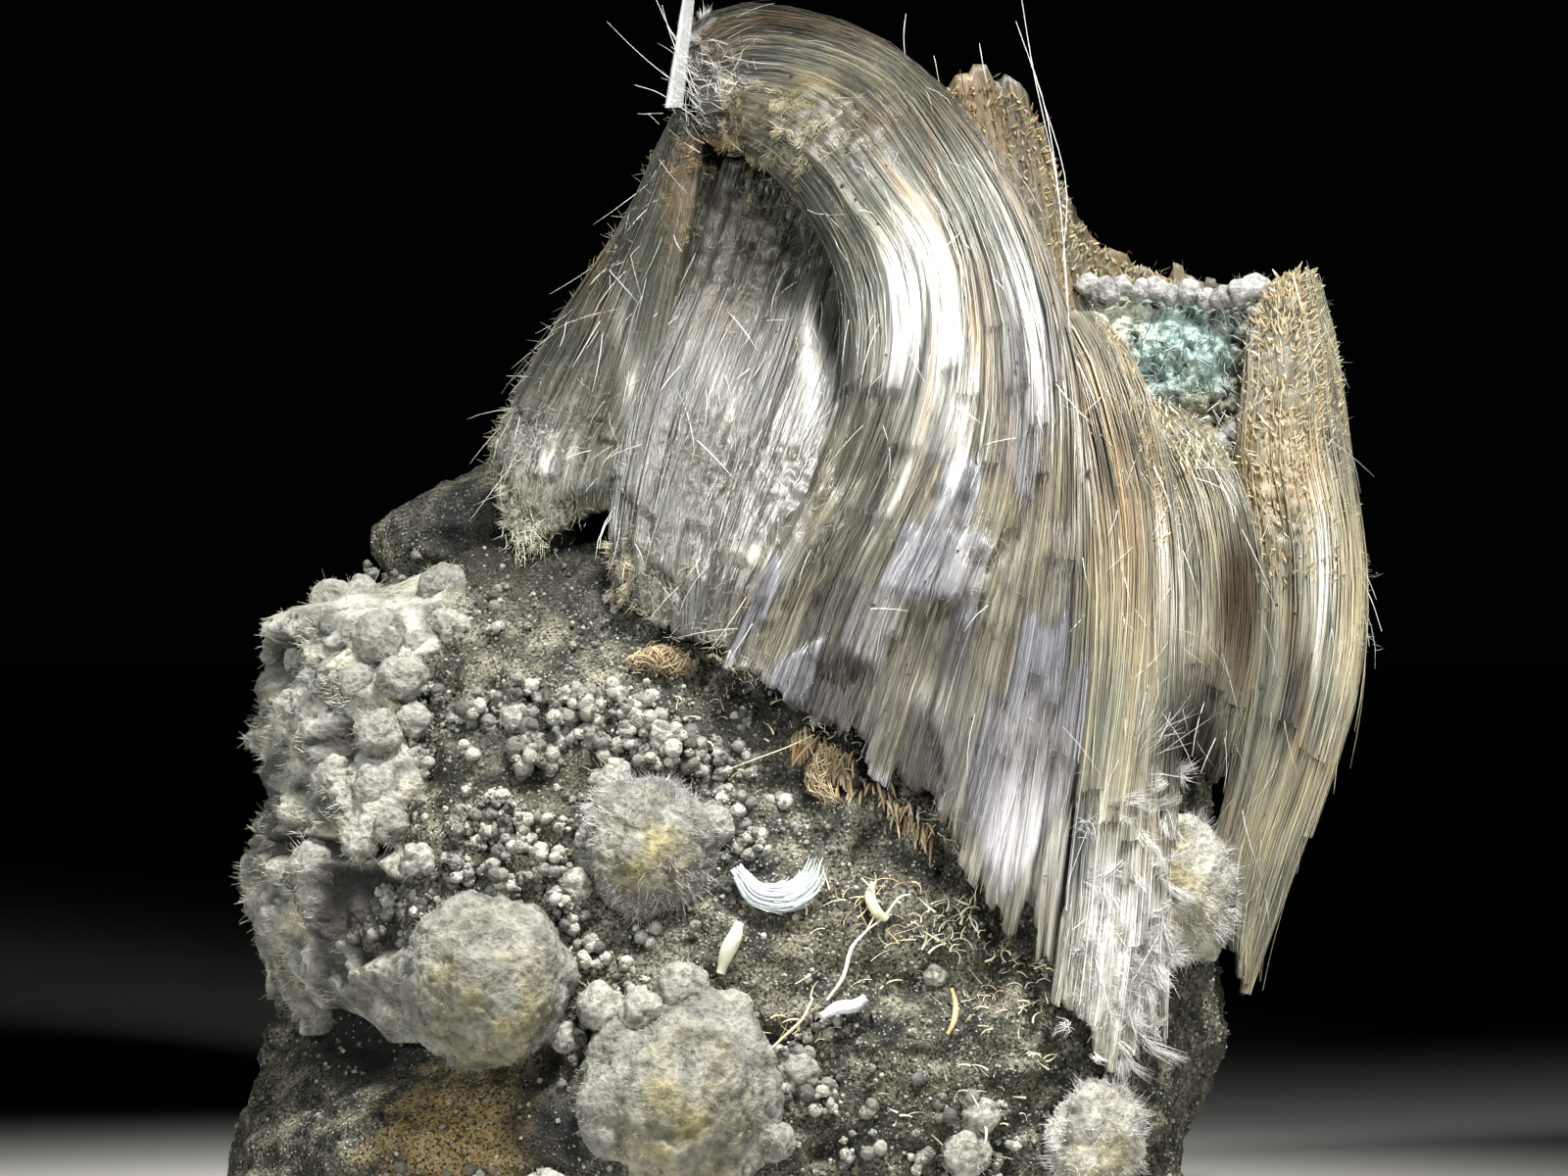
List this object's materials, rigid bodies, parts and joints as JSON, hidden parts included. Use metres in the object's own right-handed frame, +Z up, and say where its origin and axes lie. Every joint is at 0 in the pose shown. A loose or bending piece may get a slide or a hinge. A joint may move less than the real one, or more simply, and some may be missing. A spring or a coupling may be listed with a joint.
{
  "type": "halotrichite specimen",
  "caption": "Silky hair-like crystal tresses curving over a dark host rock, with fuzzy white puffs, beads, curled crystals and cream crusts.",
  "frame": {"origin": "on the flat broken base that the rock rests on, under the middle of the pictured front", "axes": "+Z up along the specimen's height, -Y towards the pictured front, +X to the right in the picture"},
  "size_m": [0.0583, 0.0422, 0.0646],
  "materials": {
    "host_rock": "matt, fine light grains",
    "silky_fibre": "silky, bright streaks",
    "grey_fibre": "silky, slightly see-through",
    "tan_fibre": "silky to waxy",
    "teal_crust": "matt, crusty",
    "cream_crust": "matt, bumpy",
    "puff": "fuzzy",
    "white_curl": "silky"
  },
  "bodies": {
    "root": {"matrix_rock": "host_rock", "fibre_wall": "tan_fibre", "pocket_crust": "teal_crust", "main_tress": "silky_fibre", "hollow_wall": "grey_fibre", "left_curtain": "grey_fibre", "tan_tress": "tan_fibre", "hanging_tress": "silky_fibre", "right_tress": "silky_fibre", "puff_large": "puff", "puff_middle": "puff", "puff_lower": "puff", "puff_back": "puff", "needle_tuft": "puff", "lower_tuft": "puff", "left_crust": "cream_crust", "white_curl": "white_curl", "tan_curl_left": "tan_fibre", "tan_curl_right": "tan_fibre", "blade_crystal": "silky_fibre"}
  },
  "joints": []
}
